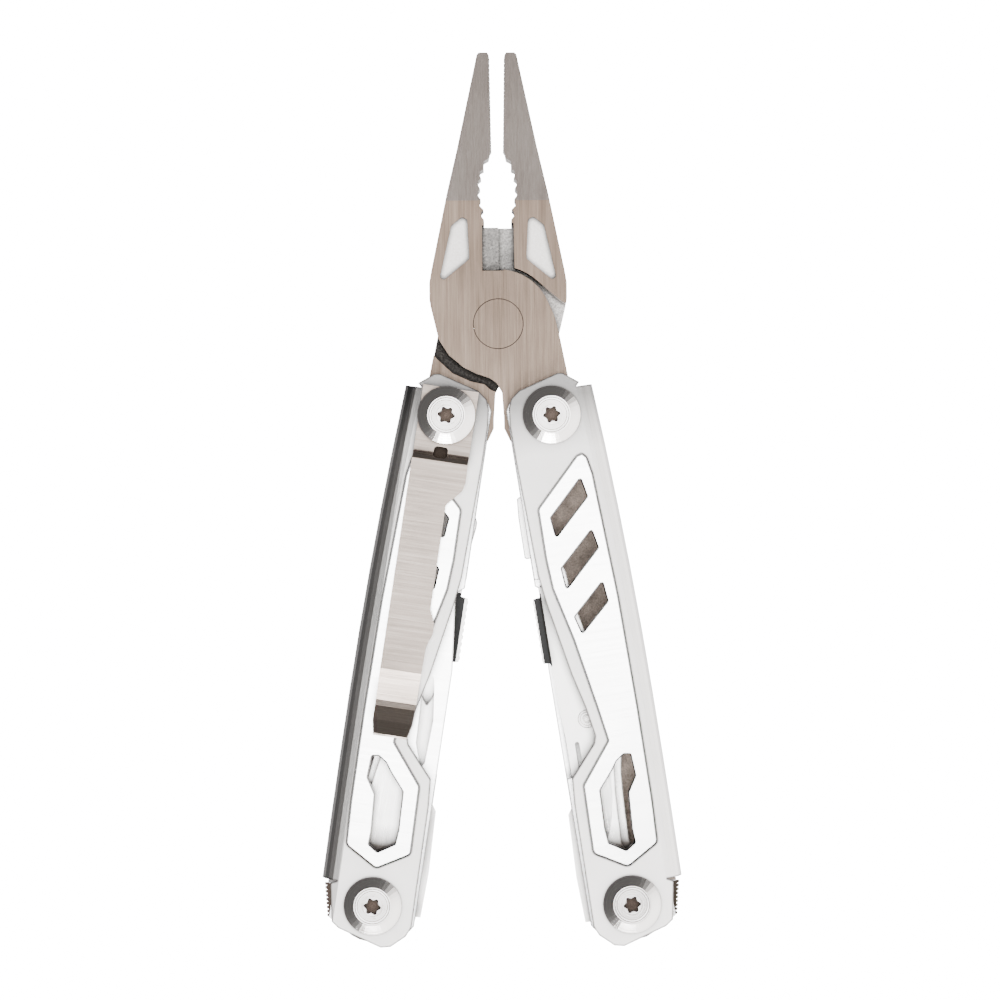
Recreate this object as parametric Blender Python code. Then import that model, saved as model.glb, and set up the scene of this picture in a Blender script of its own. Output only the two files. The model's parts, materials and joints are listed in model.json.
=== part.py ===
"""Folding multi tool: needle-nose pliers between two handles that hold four folding tools each.

The tool lies flat: jaws towards +Y, front face towards +Z, resting on its rear button heads.
Lengths in this file are millimetres. Each handle is drawn once in its own frame and used twice,
the left one turned over about its long axis: x runs across towards the palm side, y up along the
handle with the top pivot at 0, and z up from the middle plane.
"""

from math import atan2, cos, pi, radians, sin

import bmesh
import bpy
from mathutils import Vector

MM = 0.001

# Layout of the whole tool
MID_PLANE = 8.2
JAW_PIVOT_Y = 32.4
TANG_HALF_SPREAD = 9.68
TANG_DROP = 16.92
HANDLE_TILT = radians(8.94)
TOOL_PIVOT_Y = -91.2

# Heights above the middle plane
HEAD_HALF = 3.8
LINER = (4.8, 5.7)
SHELL = (5.8, 6.9)
PAD_TOP = 7.2
SLIDER = (3.9, 4.7)
BUTTON_FOOT = 6.95
BUTTON_TOP = 8.2

# Pivots
BARREL_R = 2.5
BORE_R = 2.6
SCREW_R = 1.35
SCREW_BORE_R = 1.45
BUTTON_R = 5.3
BUTTON_FLAT_R = 3.45
LOBE_R = 1.4
LOBE_WAVE = 0.26
ROUND_STEPS = 36
BORE_STEPS = 24

# Jaw joint
RIVET_R = 4.6
RIVET_CLEARANCE = 0.06
RIVET_FIT = 0.01
LAP_GAP = 0.05
LAP_CLEARANCE_R = 10.75

# Clip
CLIP_SHEET = 0.8
CLIP_LIFT = 0.85

# Four tools in each handle, counted from the slider's side
TOOL_PITCH = 2.05
TOOL_THICK = 1.8
FIRST_TOOL_TOP = 3.75


def material(name, colour, roughness, metallic=1.0):
    """Return the named Principled material, made on first use."""
    found = bpy.data.materials.get(name)
    if found:
        return found
    made = bpy.data.materials.new(name)
    made.use_nodes = True
    shader = made.node_tree.nodes["Principled BSDF"]
    shader.inputs["Base Color"].default_value = (*colour, 1.0)
    shader.inputs["Roughness"].default_value = roughness
    shader.inputs["Metallic"].default_value = metallic
    return made


def ground_steel():
    return material("ground_steel", (0.45, 0.40, 0.37), 0.35)


def satin_shell():
    return material("satin_shell", (0.66, 0.64, 0.62), 0.45)


def bright_plate():
    return material("bright_plate", (0.90, 0.90, 0.89), 0.25)


def button_steel():
    return material("button_steel", (0.75, 0.74, 0.72), 0.2)


def tool_steel():
    return material("tool_steel", (0.62, 0.61, 0.60), 0.3)


def lock_steel():
    return material("lock_steel", (0.50, 0.49, 0.48), 0.4)


def clip_steel():
    return material("clip_steel", (0.62, 0.57, 0.55), 0.25)


def bronze():
    return material("bronze", (0.60, 0.42, 0.22), 0.4)


# Outlines


def arc(centre, radius, start, end, steps):
    """Points on an arc, angles in degrees, both ends included."""
    turns = [radians(start + (end - start) * i / steps) for i in range(steps + 1)]
    return [(centre[0] + radius * cos(a), centre[1] + radius * sin(a)) for a in turns]


def circle(centre, radius, steps=BORE_STEPS):
    return arc(centre, radius, 0.0, 360.0, steps)[:-1]


def lobes(radius=LOBE_R, wave=LOBE_WAVE, steps=ROUND_STEPS):
    """Six-lobe driver recess."""
    turns = [2 * pi * i / steps for i in range(steps)]
    return [((radius + wave * cos(6 * a)) * cos(a), (radius + wave * cos(6 * a)) * sin(a)) for a in turns]


def signed_area(points):
    pairs = zip(points, points[1:] + points[:1])
    return 0.5 * sum(a[0] * b[1] - b[0] * a[1] for a, b in pairs)


def grown(points, distance):
    """Mitred offset of a closed outline, outwards for a positive distance."""
    side = 1.0 if signed_area(points) > 0 else -1.0
    result = []
    for i, point in enumerate(points):
        before = Vector(points[i - 1])
        here = Vector(point)
        after = Vector(points[(i + 1) % len(points)])
        first = (here - before).normalized()
        second = (after - here).normalized()
        normal_1 = Vector((first.y, -first.x)) * side
        normal_2 = Vector((second.y, -second.x)) * side
        middle = normal_1 + normal_2
        moved = here + middle * (2 * distance / middle.length_squared)
        result.append((moved.x, moved.y))
    return result


def rounded(points, radius, steps=3):
    """Replace each corner by an arc that is tangent to both of its sides."""
    result = []
    for i, point in enumerate(points):
        here = Vector(point)
        back = Vector(points[i - 1]) - here
        ahead = Vector(points[(i + 1) % len(points)]) - here
        half = back.angle(ahead) / 2
        reach = min(radius / max(abs(sin(half) / cos(half)), 1e-6), 0.45 * back.length, 0.45 * ahead.length)
        true_radius = reach * sin(half) / cos(half)
        if pi - 2 * half < radians(14):
            result.append(point)
            continue
        middle = (back.normalized() + ahead.normalized()).normalized()
        centre = here + middle * (true_radius / sin(half))
        start = here + back.normalized() * reach - centre
        end = here + ahead.normalized() * reach - centre
        first = atan2(start.y, start.x)
        sweep = (atan2(end.y, end.x) - first + pi) % (2 * pi) - pi
        for k in range(steps + 1):
            turn = first + sweep * k / steps
            result.append((centre.x + true_radius * cos(turn), centre.y + true_radius * sin(turn)))
    return result


# Solids


def add_object(name, bm, finish, parent=None, at=(0.0, 0.0)):
    """Turn a bmesh in millimetres into an object, its origin on its pivot."""
    bmesh.ops.remove_doubles(bm, verts=bm.verts, dist=1e-5)
    bmesh.ops.recalc_face_normals(bm, faces=bm.faces)
    bmesh.ops.scale(bm, vec=(MM, MM, MM), verts=bm.verts)
    mesh = bpy.data.meshes.new(name)
    bm.to_mesh(mesh)
    bm.free()
    mesh.materials.append(finish)
    made = bpy.data.objects.new(name, mesh)
    bpy.context.scene.collection.objects.link(made)
    made.parent = parent
    made.location = (at[0] * MM, at[1] * MM, 0.0)
    return made


def loop_edges(bm, points, z):
    """A closed ring of edges through the points at height z."""
    verts = [bm.verts.new((x, y, z)) for x, y in points]
    return [bm.edges.new((a, b)) for a, b in zip(verts, verts[1:] + verts[:1])]


def cap(bm, z, loops):
    """Flat face at height z: the first loop is its outline, the others are holes."""
    edges = [edge for points in loops for edge in loop_edges(bm, points, z)]
    bmesh.ops.triangle_fill(bm, use_beauty=True, use_dissolve=False, edges=edges)


def slope(bm, low_points, low, high_points, high):
    """Sloping wall between two outlines of equal counts."""
    lower = [bm.verts.new((x, y, low)) for x, y in low_points]
    upper = [bm.verts.new((x, y, high)) for x, y in high_points]
    for i in range(len(lower)):
        k = (i + 1) % len(lower)
        bm.faces.new((lower[i], lower[k], upper[k], upper[i]))


def wall(bm, points, low, high):
    """Upright wall along a closed outline."""
    slope(bm, points, low, points, high)


def plate_mesh(outline, holes, low, high):
    bm = bmesh.new()
    loops = [outline] + holes
    cap(bm, low, loops)
    cap(bm, high, loops)
    for points in loops:
        wall(bm, points, low, high)
    bmesh.ops.remove_doubles(bm, verts=bm.verts, dist=1e-5)
    return bm


def lofted_mesh(loops):
    """Skin through closed rings of 3-D points with equal counts, capped at both ends."""
    bm = bmesh.new()
    rings = [[bm.verts.new(point) for point in ring] for ring in loops]
    for ring, following in zip(rings, rings[1:]):
        for i in range(len(ring)):
            k = (i + 1) % len(ring)
            bm.faces.new((ring[i], ring[k], following[k], following[i]))
    bm.faces.new(rings[0])
    bm.faces.new(rings[-1])
    bmesh.ops.triangulate(bm, faces=[face for face in bm.faces if len(face.verts) > 4])
    return bm


def cut(target, cutter_mesh):
    """Cut a solid by a closed bmesh in millimetres, in the target's own frame."""
    cutter = add_object(target.name + "_cutter", cutter_mesh, target.data.materials[0])
    combine(target, cutter, "DIFFERENCE")


def combine(target, other, operation):
    """Apply one exact Boolean in the target's own frame and remove the other object."""
    parent, location = target.parent, target.location.copy()
    target.parent = None
    target.location = (0.0, 0.0, 0.0)
    modifier = target.modifiers.new("boolean", "BOOLEAN")
    modifier.operation = operation
    modifier.solver = "EXACT"
    modifier.object = other
    bpy.context.view_layer.update()
    graph = bpy.context.evaluated_depsgraph_get()
    result = bpy.data.meshes.new_from_object(target.evaluated_get(graph))
    target.modifiers.remove(modifier)
    target.data = result
    bpy.data.objects.remove(other, do_unlink=True)
    target.parent = parent
    target.location = location


def smooth(made, angle=35.0):
    made.data.shade_smooth()
    made.data.set_sharp_from_angle(angle=radians(angle))


# Head

JAW_TIP_Y = 50.4
TAPER_START_Y = 22.8
TIP_HALF = 1.9
TOOTH_PITCH = 0.8
TOOTH_DEPTH = 0.28


def fine_teeth(x_low, y_low, x_high, y_high):
    """Zigzag up along the gripping face."""
    count = int((y_high - y_low) / TOOTH_PITCH)
    points = []
    for i in range(count):
        for part, depth in ((0.0, TOOTH_DEPTH), (0.5, 0.0)):
            t = (i + part) / count
            points.append((x_low + (x_high - x_low) * t - depth, y_low + (y_high - y_low) * t))
    return points


def grip_scallops():
    """Pointed scallops round the pipe hole, from the throat up to the fine teeth."""
    spine = [(-2.5, 19.2), (-2.6, 21.1), (-3.1, 23.0), (-3.2, 25.0), (-3.0, 26.9), (-2.5, 28.6), (-1.6, 30.6)]
    points = []
    for first, second in zip(spine, spine[1:]):
        points.append(first)
        points.append(((first[0] + second[0]) / 2 - 0.5, (first[1] + second[1]) / 2 - 0.2))
        points.append(((first[0] + second[0]) / 2 - 0.45, (first[1] + second[1]) / 2 + 0.5))
    return points + [spine[-1]]


def jaw_outline():
    """Front view of one forging: left jaw, disc and right tang, clockwise from the throat."""
    throat = [(0.12, 9.9), (0.12, 17.9), (-2.5, 17.9)]
    teeth = fine_teeth(-1.05, 31.8, -1.32, 49.4)
    tip = [(-1.45, 49.9), (-1.75, 50.4), (-3.3, 50.4), (-3.7, 50.0)]
    outer = [(-7.4, 32.6), (-9.4, 24.0), (-12.35, 9.8), (-12.72, 7.6), (-12.72, 4.6), (-12.5, 3.2)]
    disc = [(-11.1, -2.7), (-9.2, -5.7), (-6.5, -8.0), (-4.1, -9.2), (-1.7, -10.0), (-0.3, -11.0), (0.6, -12.6)]
    return throat + grip_scallops() + teeth + tip + outer + disc + tang_outline()


def tang_outline():
    """Round eye about the handle's pivot, with the neck up to the disc."""
    x, y = TANG_HALF_SPREAD, -TANG_DROP
    lug = [(0.93, -17.4), (0.95, -19.2), (2.1, -21.6)]
    eye = arc((x, y), 6.9, 225.0, 385.0, 16)
    neck = [(13.4, -12.2), (12.83, -9.7), (11.3, -2.2), (10.26, 1.7)]
    return lug + eye + neck + arc((0.0, 0.0), 10.05, 20.5, 86.0, 9)


def slab(points, low, high):
    return plate_mesh(points, [], low, high)


def wedge(side):
    """Block above or below the slope that thins the jaw towards its tip."""
    start = HEAD_HALF
    slope = (HEAD_HALF - TIP_HALF) / (JAW_TIP_Y - TAPER_START_Y)
    far = JAW_TIP_Y + 4.0
    drop = start - slope * (far - TAPER_START_Y)
    section = [(TAPER_START_Y, start), (far, drop), (far, start + 3.0), (TAPER_START_Y, start + 3.0)]
    rings = [[(x, y, side * z) for y, z in section] for x in (-20.0, 20.0)]
    return lofted_mesh(rings)


def make_jaw(name, parent, pivot_turn, rivet_gap):
    """One forging, drawn as the front one; pivot_turn turns the rear one over."""
    blank = plate_mesh(jaw_outline(), [circle((TANG_HALF_SPREAD, -TANG_DROP), BORE_R)], -HEAD_HALF, HEAD_HALF)
    made = add_object(name, blank, ground_steel(), parent)
    cut(made, slab(lap_window(), -HEAD_HALF - 2.0, LAP_GAP))
    bore = circle((0.0, 0.0), RIVET_R + rivet_gap, ROUND_STEPS)
    cut(made, slab(bore, -HEAD_HALF - 3.0, HEAD_HALF + 3.0))
    for side in (-1, 1):
        cut(made, wedge(side))
        cut(made, pocket_cutter(side))
    cut(made, slab([(-2.9, 9.8), (1.0, 9.8), (1.0, 18.2), (-2.9, 18.2)], 2.0, HEAD_HALF + 2.0))
    made.rotation_euler = (0.0, pivot_turn, 0.0)
    return made


def lap_window():
    """Everything behind the lap plane that the other forging sweeps between open and closed."""
    neck = [(-14.0, 3.6), (-12.4, 3.75), (-11.6, 4.2), (-9.8, 5.7)]
    disc = arc((0.0, 0.0), LAP_CLEARANCE_R, 133.0, 106.5, 4)
    throat = [(-2.95, 18.6), (15.0, 18.6), (15.0, -1.5)]
    jaw = [(12.75, -5.0), (11.2, -6.6), (8.5, -9.1), (5.25, -10.6), (2.6, -11.2), (1.5, -12.2)]
    tang_side = [(0.5, -12.6), (0.4, -17.4), (0.4, -26.0), (-14.0, -26.0)]
    return neck + disc + throat + jaw + tang_side


def pocket_cutter(side):
    """Shallow pocket in the jaw's flank."""
    pocket = [(-6.6, 19.8), (-5.6, 19.3), (-5.25, 12.0), (-10.0, 8.1), (-10.8, 8.6), (-8.6, 18.2)]
    depth = HEAD_HALF - 0.9
    low, high = sorted((side * depth, side * (HEAD_HALF + 2.0)))
    return slab(rounded(pocket, 0.5, 2), low, high)


def make_rivet(parent):
    bm = slab(circle((0.0, 0.0), RIVET_R, ROUND_STEPS), -HEAD_HALF, HEAD_HALF)
    smooth(add_object("jaw_rivet", bm, ground_steel(), parent))


# Handle covers and liners

TOOL_SIDE = [(-7.64, -94.2), (-7.47, -71.7), (-7.1, -66.7), (-2.1, -61.0), (-1.65, -59.6), (-2.55, -54.3)]
TOOL_SIDE += [(-4.15, -47.6), (-6.55, -34.3), (-7.25, -29.0), (-7.85, -8.0), (-7.9, -1.0), (-7.6, 2.2)]
SHELL_TOP = [(-6.9, 4.0), (-5.2, 5.3), (2.3, 7.35), (3.3, 7.2), (6.0, 5.1)]
SHELL_BOTTOM = [(7.0, -95.2), (5.6, -96.2), (-2.6, -98.6), (-4.4, -98.2), (-6.9, -95.9)]
FLANGE_TOP_Y = 4.4
FLANGE_END_Y = -87.6
FLANGE_WIDTH = 3.0
FLANGE_DROP = 2.6
FLANGE_STATIONS = 9
FLANGE_STEPS = 5
SHEET = SHELL[1] - SHELL[0]

PAD = [(4.55, -7.4), (-5.0, -16.9), (-5.05, -26.0), (-4.7, -31.6), (-2.4, -41.5), (-0.1, -54.8), (0.85, -60.9)]
PAD += [(-5.0, -68.3), (-5.25, -80.7), (0.4, -84.0), (6.2, -80.6), (6.5, -72.6), (6.6, -55.9), (6.4, -35.0)]
PAD += [(5.4, -12.0)]
SLOTS = [
    [(3.45, -11.9), (4.25, -16.0), (-3.0, -22.9), (-3.45, -18.6)],
    [(3.95, -21.6), (4.7, -25.6), (-2.65, -32.6), (-3.0, -28.1)],
    [(4.4, -31.3), (4.85, -35.6), (-1.05, -41.0), (-2.05, -37.3)],
]
WINDOW = [(1.3, -64.6), (2.9, -63.5), (4.4, -63.7), (4.65, -68.0), (2.85, -70.9), (2.45, -77.5), (2.6, -80.2)]
WINDOW += [(0.6, -81.5), (-2.6, -79.5), (-2.85, -76.6), (-2.6, -69.5), (0.1, -66.3)]
PAD_GAP = 0.3
OPENING_CHAMFER = 0.25


def palm_edge(y):
    """How far the palm edge stands from the pivot line: nearly straight, a little full in the middle."""
    fall = (y + 55.0) / 59.0
    return 10.2 - 1.9 * fall * fall if y > -55.0 else 10.2 - 0.2 * (y + 55.0) ** 2 / 1000.0


def flange_rings():
    """Cross-sections of the rolled palm edge: outer skin, then inner skin back."""
    rings = []
    for i in range(FLANGE_STATIONS):
        y = FLANGE_TOP_Y + (FLANGE_END_Y - FLANGE_TOP_Y) * i / (FLANGE_STATIONS - 1)
        edge = palm_edge(y)
        seam = edge - FLANGE_WIDTH
        turns = [pi / 2 * k / FLANGE_STEPS for k in range(FLANGE_STEPS + 1)]
        outer = [(seam + FLANGE_WIDTH * sin(a), SHELL[1] - FLANGE_DROP * (1 - cos(a))) for a in turns]
        inner = [
            (seam + (FLANGE_WIDTH - SHEET) * sin(a), SHELL[0] - (FLANGE_DROP - SHEET) * (1 - cos(a)))
            for a in reversed(turns)
        ]
        rings.append([(x, y, z) for x, z in outer + inner])
    return rings


def shell_mesh(window):
    """Flat cover plate joined to its rolled palm edge along a shared seam."""
    rings = flange_rings()
    seam = [(ring[0][0], ring[0][1]) for ring in rings]
    outline = TOOL_SIDE + SHELL_TOP + seam + [(8.25, -88.2)] + SHELL_BOTTOM
    holes = [circle((0.0, 0.0), BORE_R), circle((0.0, TOOL_PIVOT_Y), BORE_R), window]
    bm = plate_mesh(outline, holes, *SHELL)
    on_seam = {(round(x, 4), round(y, 4)) for x, y in seam}

    def is_seam(face):
        return all((round(v.co.x, 4), round(v.co.y, 4)) in on_seam for v in face.verts)

    strips = [face for face in bm.faces if abs(face.normal.z) < 0.5 and is_seam(face)]
    bmesh.ops.delete(bm, geom=strips, context="FACES_ONLY")
    grid = [[bm.verts.new(point) for point in ring] for ring in rings]
    for ring, following in zip(grid, grid[1:]):
        for i in range(len(ring) - 1):
            bm.faces.new((ring[i], ring[i + 1], following[i + 1], following[i]))
    for ring in (grid[0], grid[-1]):
        half = len(ring) // 2
        for i in range(half - 1):
            bm.faces.new((ring[i], ring[i + 1], ring[-2 - i], ring[-1 - i]))
    return bm


def layered_liner(side_loops, pad, openings):
    """Liner sheet with its raised pad: chamfered openings run through both."""
    bm = bmesh.new()
    bores = [circle((0.0, 0.0), BORE_R), circle((0.0, TOOL_PIVOT_Y), BORE_R)]
    base, extra = side_loops[0], side_loops[1:]
    throats = [grown(points, -OPENING_CHAMFER) for points in openings]
    cap(bm, LINER[0], [base] + bores + throats + extra)
    cap(bm, LINER[1], [base, pad] + bores + extra)
    cap(bm, PAD_TOP, [pad] + openings)
    for points in [base] + bores + extra:
        wall(bm, points, *LINER)
    for points, throat in zip(openings, throats):
        wall(bm, throat, LINER[0], PAD_TOP - OPENING_CHAMFER)
        slope(bm, throat, PAD_TOP - OPENING_CHAMFER, points, PAD_TOP)
    wall(bm, pad, LINER[1], PAD_TOP)
    return bm


LINER_TOP = [(-7.3, 3.4), (-5.0, 5.0), (2.3, 7.0), (3.2, 6.9), (5.0, 5.2), (5.5, -2.0), (6.8, -30.0)]
LINER_TOP += [(7.2, -60.0), (7.2, -88.0)]
LINER_END = [(6.6, -95.2), (5.4, -95.8), (-2.6, -98.2), (-4.2, -97.8), (-7.4, -95.0)]
LINER_EDGE_X = -8.1
EAR_TOP = (9.35, -88.4)
EAR_END = (7.9, -94.8)
EAR_GROOVES = 9
NOTCH = [(-8.1, -66.6), (-7.0, -66.6), (-1.1, -59.9), (-2.0, -54.2), (-3.5, -47.4), (-5.9, -34.0)]
NOTCH += [(-6.6, -29.6), (-8.1, -29.6)]
TAB_WINDOW = [(-8.1, -46.4), (-6.7, -33.0), (-6.8, -32.0), (-8.1, -31.0)]
NICK_SLOT = [(-3.0, -47.6), (-4.9, -48.0), (-5.3, -50.0), (-6.0, -56.0), (-5.6, -64.0), (-4.9, -64.9)]
NICK_SLOT += [(-3.4, -60.5)]


def liner_outline(notched):
    """Liner sheet, cut back at its tool side over the lock slider, or only beside the thumb tab."""
    edge = [(LINER_EDGE_X, -94.0)] + (NOTCH if notched else TAB_WINDOW) + [(LINER_EDGE_X, 2.0)]
    return edge + LINER_TOP + ear() + LINER_END


def ear():
    """Grooved corner that shows past the cover at the palm side."""
    points = []
    for i in range(EAR_GROOVES):
        for part, depth in ((0.0, 0.0), (0.5, 0.0), (0.65, 0.35), (0.85, 0.35)):
            t = (i + part) / EAR_GROOVES
            x = EAR_TOP[0] + (EAR_END[0] - EAR_TOP[0]) * t
            points.append((x - depth, EAR_TOP[1] + (EAR_END[1] - EAR_TOP[1]) * t))
    return points


def mirrored_z(bm):
    bmesh.ops.scale(bm, vec=(1.0, 1.0, -1.0), verts=bm.verts)
    return bm


def make_covers(prefix, faces, parent):
    """Shells and liners. faces names the slider's side first."""
    pad = rounded(PAD, 0.8, 2)
    openings = [rounded(points, 0.45, 2) for points in SLOTS + [WINDOW]]
    shell_window = grown(pad, PAD_GAP)
    for face, sign in zip(faces, (1, -1)):
        notched = sign > 0
        loops = [liner_outline(notched)] + ([] if notched else [rounded(NICK_SLOT, 0.6, 2)])
        shell = shell_mesh(shell_window)
        liner = layered_liner(loops, pad, openings if face == "front" else [])
        if sign < 0:
            mirrored_z(shell)
            mirrored_z(liner)
        smooth(add_object(f"{prefix}_{face}_shell", shell, satin_shell(), parent))
        add_object(f"{prefix}_{face}_liner", liner, bright_plate(), parent)


# Pivots and rings


def ring_points(points, z):
    return [(x, y, z) for x, y in points]


def button_rings(foot, top, sign):
    """Rings of a button head from its foot to the floor of its driver recess."""
    rim = top - 0.95
    rings = [(circle((0, 0), BUTTON_R, ROUND_STEPS), foot), (circle((0, 0), BUTTON_R, ROUND_STEPS), rim)]
    rings += [(circle((0, 0), BUTTON_FLAT_R, ROUND_STEPS), top), (lobes(), top), (lobes(), top - 0.9)]
    return [ring_points(points, sign * z) for points, z in rings]


def screw_mesh(lift=0.0):
    shank = circle((0, 0), SCREW_R, ROUND_STEPS)
    rings = [ring_points(shank, -2.0), ring_points(shank, BUTTON_FOOT + lift)]
    return lofted_mesh(rings + button_rings(BUTTON_FOOT + lift, BUTTON_TOP + lift, 1))


def barrel_mesh(lift=0.0):
    bore = circle((0, 0), SCREW_BORE_R, ROUND_STEPS)
    tube = circle((0, 0), BARREL_R, ROUND_STEPS)
    rings = [ring_points(bore, -3.0), ring_points(bore, BUTTON_FOOT - 0.1)]
    rings += [ring_points(tube, BUTTON_FOOT - 0.1), ring_points(tube, -BUTTON_FOOT - lift)]
    return lofted_mesh(rings + button_rings(BUTTON_FOOT + lift, BUTTON_TOP + lift, -1))


def ring_mesh(radius, low, high):
    return plate_mesh(circle((0, 0), radius), [circle((0, 0), BORE_R)], low, high)


def make_pivots(prefix, parent, clip_lift):
    pivots = (("top", 0.0, clip_lift), ("tool", TOOL_PIVOT_Y, 0.0))
    for name, y, lift in pivots:
        smooth(add_object(f"{prefix}_{name}_screw", screw_mesh(), button_steel(), parent, (0.0, y)))
        smooth(add_object(f"{prefix}_{name}_barrel", barrel_mesh(lift), button_steel(), parent, (0.0, y)))
    for index, sign in ((1, 1), (2, -1)):
        low, high = sorted((sign * (HEAD_HALF + 0.05), sign * (LINER[0] - 0.05)))
        washer = ring_mesh(4.6, low, high)
        smooth(add_object(f"{prefix}_top_washer_{index}", washer, bronze(), parent))


def tool_levels(index):
    high = FIRST_TOOL_TOP - TOOL_PITCH * index
    return high - TOOL_THICK, high


def make_tool_rings(prefix, parent):
    """Rings that keep the tools apart on their barrel."""
    gap = 0.05
    levels = [(FIRST_TOOL_TOP + gap, LINER[0] - gap)]
    for index in range(3):
        levels.append((tool_levels(index + 1)[1] + gap, tool_levels(index)[0] - gap))
    levels.append((-LINER[0] + gap, tool_levels(3)[0] - gap))
    for index, (low, high) in enumerate(levels, start=1):
        ring = ring_mesh(4.4, low, high)
        smooth(add_object(f"{prefix}_tool_ring_{index}", ring, bronze(), parent, (0.0, TOOL_PIVOT_Y)))


# Lock slider, its stud and spring; stop pin

SLIDER_STUD = (-2.6, -56.4)
STUD_R = 1.6
TAB_TOP = 6.4
TAB_RIBS = 9


def slider_outline():
    """Thumb tab at the tool side, a wide plate, a shoulder for the spring and an arm down to the heels."""
    tab = [(-7.6, -45.3), (-8.9, -45.1), (-8.9, -33.1), (-7.6, -32.9)]
    body = [(-7.6, -31.2), (-6.4, -30.8), (-5.4, -34.5), (-2.6, -47.0), (-0.9, -53.0), (0.6, -56.2)]
    shoulder = [(6.4, -56.2), (6.4, -58.6), (-0.6, -60.0), (-1.6, -63.6), (-4.7, -66.6)]
    gap = [(-4.75, -60.6), (-5.0, -60.3), (-5.35, -60.3), (-5.6, -60.6)]
    arm = [(-5.7, -93.6), (-9.0, -93.4), (-9.3, -85.0), (-8.9, -73.4), (-8.5, -72.8), (-7.3, -71.0)]
    return tab + body + shoulder + gap + arm + [(-7.1, -66.0), (-7.1, -59.0), (-7.4, -53.0)]


def make_lock(prefix, parent):
    stud_hole = circle(SLIDER_STUD, STUD_R + 0.1)
    flat = plate_mesh(slider_outline(), [stud_hole], *SLIDER)
    slider = add_object(f"{prefix}_lock_slider", flat, lock_steel(), parent)
    combine(slider, add_object("tab_block", tab_mesh(), lock_steel()), "UNION")
    combine(slider, add_object("nose_block", nose_mesh(), lock_steel()), "UNION")
    stud = plate_mesh(circle(SLIDER_STUD, STUD_R), [], SLIDER[0], SLIDER[1])
    smooth(add_object(f"{prefix}_lock_stud", stud, button_steel(), parent))
    spring = plate_mesh(spring_outline(), [], SLIDER[0] + 0.1, SLIDER[1] - 0.1)
    add_object(f"{prefix}_lock_spring", spring, tool_steel(), parent)


def tab_mesh():
    """Thumb tab raised above the slider, with ribs across its outer face."""
    pitch = (45.0 - 33.2) / TAB_RIBS
    points = [(-7.72, -45.2)]
    for i in range(TAB_RIBS):
        low = -45.0 + pitch * i
        points += [(-8.75, low), (-9.05, low + 0.3 * pitch)]
        points += [(-9.05, low + 0.6 * pitch), (-8.75, low + 0.85 * pitch)]
    points.append((-7.72, -33.0))
    return plate_mesh(points, [], SLIDER[0] + 0.02, TAB_TOP)


def nose_mesh():
    """Nose that hangs beside the tools' round heels at the tool side."""
    points = [(-8.0, -93.4), (-7.25, -93.4), (-7.25, -90.6), (-8.0, -90.6)]
    return plate_mesh(points, [], tool_levels(3)[0], SLIDER[1] - 0.05)


def spring_outline():
    """Flat serpentine spring above the slider's arm."""
    low_y, high_y, half, thick, folds = -54.3, -43.6, 2.3, 0.45, 6
    pitch = (high_y - low_y) / folds
    centre_x = 3.9
    path = [(centre_x - half, low_y)]
    for i in range(folds):
        side = half if i % 2 == 0 else -half
        path.append((centre_x + side, low_y + pitch * (i + 0.1)))
        path.append((centre_x + side, low_y + pitch * (i + 0.9)))
    path.append((centre_x, high_y))
    return ribbon(path, thick)


def ribbon(path, width):
    """Closed outline of a strip of even width along an open path."""
    left, right = [], []
    for i, point in enumerate(path):
        here = Vector(point)
        first = (here - Vector(path[i - 1])).normalized() if i > 0 else None
        second = (Vector(path[i + 1]) - here).normalized() if i < len(path) - 1 else None
        first = first or second
        second = second or first
        normal = Vector((-first.y - second.y, first.x + second.x))
        offset = normal * (width / normal.length_squared)
        left.append(tuple(here + offset))
        right.append(tuple(here - offset))
    return left + right[::-1]


def make_stop_pin(prefix, parent):
    pin = plate_mesh(circle((-6.5, -5.7), 1.1, 20), [], -LINER[0] + 0.05, LINER[0] - 0.05)
    smooth(add_object(f"{prefix}_stop_pin", pin, tool_steel(), parent))


# Tools, in the tool frame: pivot at the origin, +y towards the tip, the tool side at -x

HEEL_R = 7.0
PALM_FLANK = [(5.4, 0.0), (5.4, 12.0), (4.6, 22.0), (3.0, 34.0)]
PALM_FLANK += [(1.1, 44.0), (-1.2, 55.0), (-2.3, 60.0), (-4.1, 66.0)]


def heel(right_from, left_to):
    """Round heel about the pivot, from the palm flank under it to the tool-side flank."""
    return arc((0.0, 0.0), HEEL_R, right_from, left_to, 14)


def add_flat_tool(prefix, name, index, right, left, parent):
    """Flat tool: palm flank up to the tip, down the tool side, and round the heel."""
    outline = right + left + heel(180.0, 360.0)
    bm = plate_mesh(outline, [circle((0.0, 0.0), BORE_R)], *tool_levels(index))
    return add_object(f"{prefix}_{name}", bm, tool_steel(), parent, (0.0, TOOL_PIVOT_Y))


def blade_mesh(stations, thick_low, thick_high):
    """Blade ground from its spine to its edge. Stations hold y, spine x, grind line x and edge x."""
    middle = (thick_low + thick_high) / 2
    rings = []
    for y, spine, grind, edge in stations:
        rings.append(
            [
                (spine, y, thick_low),
                (grind, y, thick_low),
                (edge, y, middle - 0.12),
                (edge, y, middle + 0.12),
                (grind, y, thick_high),
                (spine, y, thick_high),
            ]
        )
    return lofted_mesh(rings)


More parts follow.
